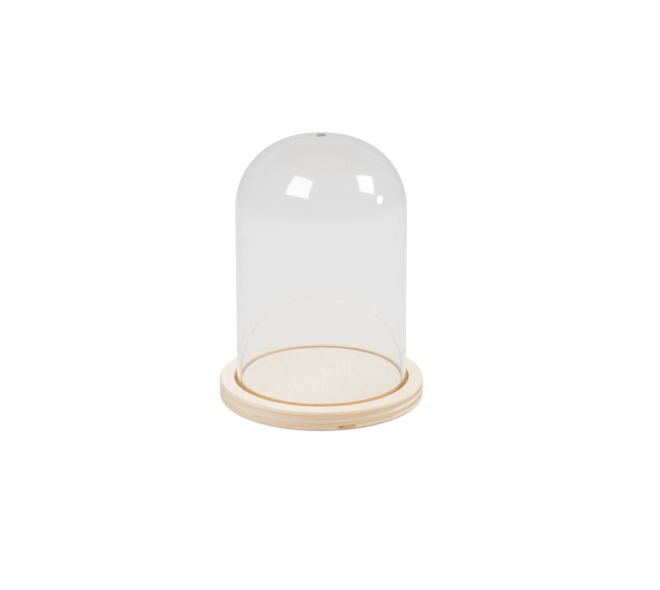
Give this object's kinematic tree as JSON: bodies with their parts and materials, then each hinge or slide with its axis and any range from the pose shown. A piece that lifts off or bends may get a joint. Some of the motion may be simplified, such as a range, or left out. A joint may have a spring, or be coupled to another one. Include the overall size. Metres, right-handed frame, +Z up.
{
  "type": "display cloche",
  "caption": "Clear bell with a domed top and a small apex hole, standing in a ring groove in a round plywood base, for showing and covering a small item.",
  "frame": {"origin": "centre of the base's underside, on the surface that it stands on", "axes": "+Z up along the axis that every piece is turned about and the bell lifts along; -Y towards the viewer, with the grain of the top ply along Y"},
  "size_m": [0.12, 0.12, 0.1548],
  "materials": {
    "clear_plastic": "clear, polished moulding",
    "long_grain_veneer": "bare pale wood, sanded",
    "cross_grain_veneer": "bare wood, darker at its edge, sanded"
  },
  "bodies": {
    "base": {"bottom_ply": "long_grain_veneer", "lower_cross_ply": "cross_grain_veneer", "core_ply": "long_grain_veneer", "upper_cross_ply_ring": "cross_grain_veneer", "upper_cross_ply_disc": "cross_grain_veneer", "top_ply_ring": "long_grain_veneer", "top_ply_disc": "long_grain_veneer"},
    "dome": {"dome_shell": "clear_plastic"}
  },
  "joints": [
    {"name": "dome_lift", "type": "slide", "parent": "base", "child": "dome", "axis": [0, 0, 1], "range_m": [0, 0.16]}
  ]
}
